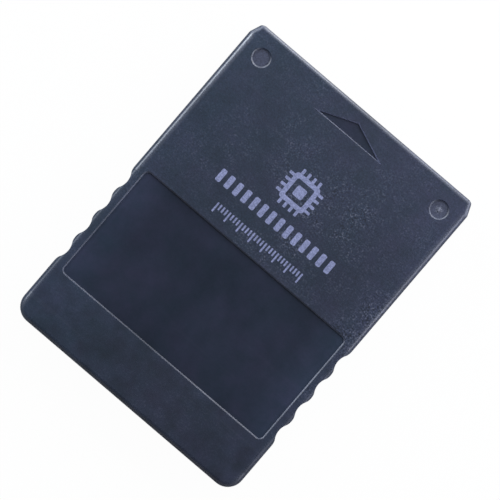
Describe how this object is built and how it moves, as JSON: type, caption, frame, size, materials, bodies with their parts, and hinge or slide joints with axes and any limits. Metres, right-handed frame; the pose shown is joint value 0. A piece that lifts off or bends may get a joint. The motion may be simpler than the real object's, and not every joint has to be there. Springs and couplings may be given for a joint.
{
  "type": "console memory card",
  "caption": "Flat two-shell memory card with finger scallops, a label recess, an insertion arrow and a ribbed connector mouth with plated contacts.",
  "frame": {"origin": "centre of the card's box, on its rear face", "axes": "+X across the card, +Y towards the connector end, +Z out of the front face"},
  "size_m": [0.042, 0.0558, 0.008],
  "materials": {
    "shell": "fine spark texture",
    "board": "solder mask",
    "contact": "gold plated",
    "chip": "moulded epoxy",
    "lead": "tin plated",
    "resonator": "glazed ceramic",
    "capacitor": "ceramic",
    "resistor": "glazed ceramic"
  },
  "bodies": {
    "root": {"front_shell": "shell", "rear_shell": "shell", "circuit_board": "board", "contact_1": "contact", "contact_2": "contact", "contact_3": "contact", "contact_4": "contact", "contact_5": "contact", "contact_6": "contact", "contact_7": "contact", "contact_8": "contact", "memory_chip": "chip", "controller_chip": "chip", "memory_chip_leads": "lead", "controller_chip_leads": "lead", "resonator": "resonator", "capacitor_1": "capacitor", "capacitor_2": "capacitor", "capacitor_3": "capacitor", "capacitor_4": "capacitor", "capacitor_5": "capacitor", "resistor_1": "resistor", "resistor_2": "resistor", "resistor_3": "resistor", "resistor_4": "resistor"}
  },
  "joints": []
}
